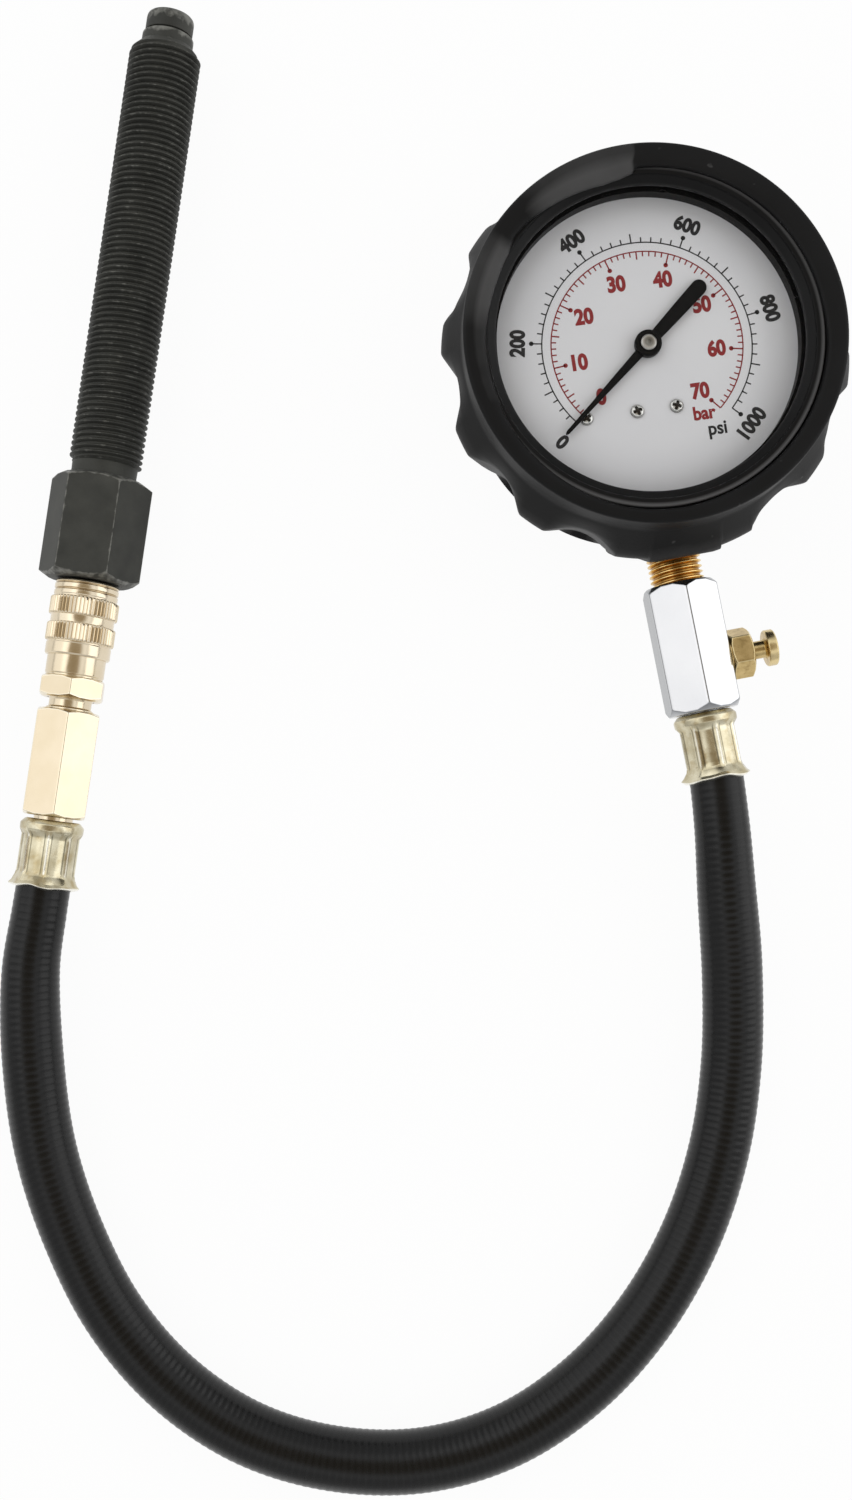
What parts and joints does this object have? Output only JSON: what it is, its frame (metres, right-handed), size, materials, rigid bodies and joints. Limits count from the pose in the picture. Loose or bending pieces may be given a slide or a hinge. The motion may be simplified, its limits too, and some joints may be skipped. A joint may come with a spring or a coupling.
{
  "type": "compression tester gauge",
  "caption": "Dial pressure gauge in a lobed rubber boot, with a relief valve block, a rubber hose, a quick coupler and a long threaded adapter for an engine's plug hole.",
  "frame": {"origin": "centre of the boot's flat back face, on the table under the dial's axis", "axes": "+Z along the dial's normal away from the back; -Y along the stem towards the valve block; +X to the right of a person who reads the dial"},
  "size_m": [0.2352, 0.3747, 0.0462],
  "materials": {
    "boot_rubber": "matte moulded black",
    "case_paint": "satin black paint",
    "window_clear": "clear polished",
    "black_plastic": "satin black",
    "dial_white": "satin white with black and red print",
    "screw_steel": "bright zinc plate",
    "spring_steel": "bare spring steel",
    "stem_brass": "bare golden brass",
    "block_plate": "bright nickel plate",
    "valve_brass": "dull olive brass",
    "ferrule_zinc": "yellow zinc plate",
    "hose_rubber": "wrap-marked black",
    "seal_rubber": "soft black",
    "washer_copper": "soft copper",
    "pale_brass": "polished pale brass",
    "black_oxide": "oiled black oxide"
  },
  "bodies": {
    "gauge_body": {"rubber_boot": "boot_rubber", "gauge_case": "case_paint", "case_screws": "screw_steel", "bezel_ring": "case_paint", "window": "window_clear", "window_gasket": "seal_rubber", "spacer_ring": "black_plastic", "dial_plate": "dial_white", "dial_screws": "screw_steel", "socket_stem": "stem_brass", "bourdon_tube": "stem_brass", "hairspring": "spring_steel", "hairspring_stud": "stem_brass", "movement_back_plate": "stem_brass", "movement_front_plate": "stem_brass", "movement_pillars": "stem_brass", "movement_screws": "screw_steel", "socket_screws": "screw_steel", "stem_washer": "washer_copper", "valve_block": "block_plate", "relief_valve_body": "valve_brass", "relief_spring": "spring_steel", "hose_nipple": "spring_steel", "gauge_ferrule": "ferrule_zinc", "hose": "hose_rubber", "coupler_ferrule": "ferrule_zinc", "hose_hex_fitting": "pale_brass", "coupler_body": "pale_brass", "sleeve_spring": "spring_steel", "retaining_ring": "spring_steel", "locking_balls": "spring_steel", "coupler_seal": "seal_rubber", "check_valve_spring": "spring_steel"},
    "sector": {"sector_gear": "stem_brass", "sector_arbor": "spring_steel"},
    "pointer": {"pinion_arbor": "spring_steel", "pointer": "black_plastic", "pointer_cap": "screw_steel"},
    "tube_end": {"tube_tip": "stem_brass", "link_bar": "stem_brass"},
    "relief_press_button": {"relief_button": "valve_brass", "relief_seal": "seal_rubber"},
    "sleeve": {"coupler_sleeve": "pale_brass"},
    "engine_adapter": {"adapter": "black_oxide", "check_valve_body": "stem_brass"},
    "valve_pin": {"check_valve_pin": "spring_steel"}
  },
  "joints": [
    {"name": "sector_swing", "type": "hinge", "parent": "gauge_body", "child": "sector", "pos_m": [0, -0.018, 0.03], "axis": [0, 0, 1], "range_deg": [0, 30], "stiffness_Nm_per_rad": 0.02, "springref_deg": -5.73},
    {"name": "pointer_turn", "type": "hinge", "parent": "gauge_body", "child": "pointer", "pos_m": [0, 0, 0.037], "axis": [0, 0, 1], "range_deg": [-270, 0], "deforming": ["hairspring"]},
    {"name": "tip_slide", "type": "slide", "parent": "gauge_body", "child": "tube_end", "axis": [0.8192, 0.5736, 0], "range_m": [0, 0.00419], "deforming": ["bourdon_tube"]},
    {"name": "relief_press", "type": "slide", "parent": "gauge_body", "child": "relief_press_button", "axis": [-1, 0, 0], "range_m": [0, 0.002], "stiffness_N_per_m": 2500, "springref_m": -0.002, "deforming": ["relief_spring"]},
    {"name": "sleeve_slide", "type": "slide", "parent": "gauge_body", "child": "sleeve", "axis": [-0.314, -0.9494, 0], "range_m": [0, 0.0035], "stiffness_N_per_m": 3000, "springref_m": -0.002, "deforming": ["sleeve_spring"]},
    {"name": "adapter_swivel", "type": "hinge", "parent": "gauge_body", "child": "engine_adapter", "pos_m": [-0.1435, -0.0266, 0.011], "axis": [0.314, 0.9494, 0], "continuous": true},
    {"name": "valve_pin_press", "type": "slide", "parent": "engine_adapter", "child": "valve_pin", "axis": [-0.314, -0.9494, 0], "range_m": [0, 0.001], "stiffness_N_per_m": 400, "springref_m": -0.001, "deforming": ["check_valve_spring"]}
  ],
  "couplings": [
    {"joint": "pointer_turn", "follows": "sector_swing", "ratio": -9},
    {"joint": "tip_slide", "follows": "sector_swing", "m_per_rad": 0.008}
  ]
}
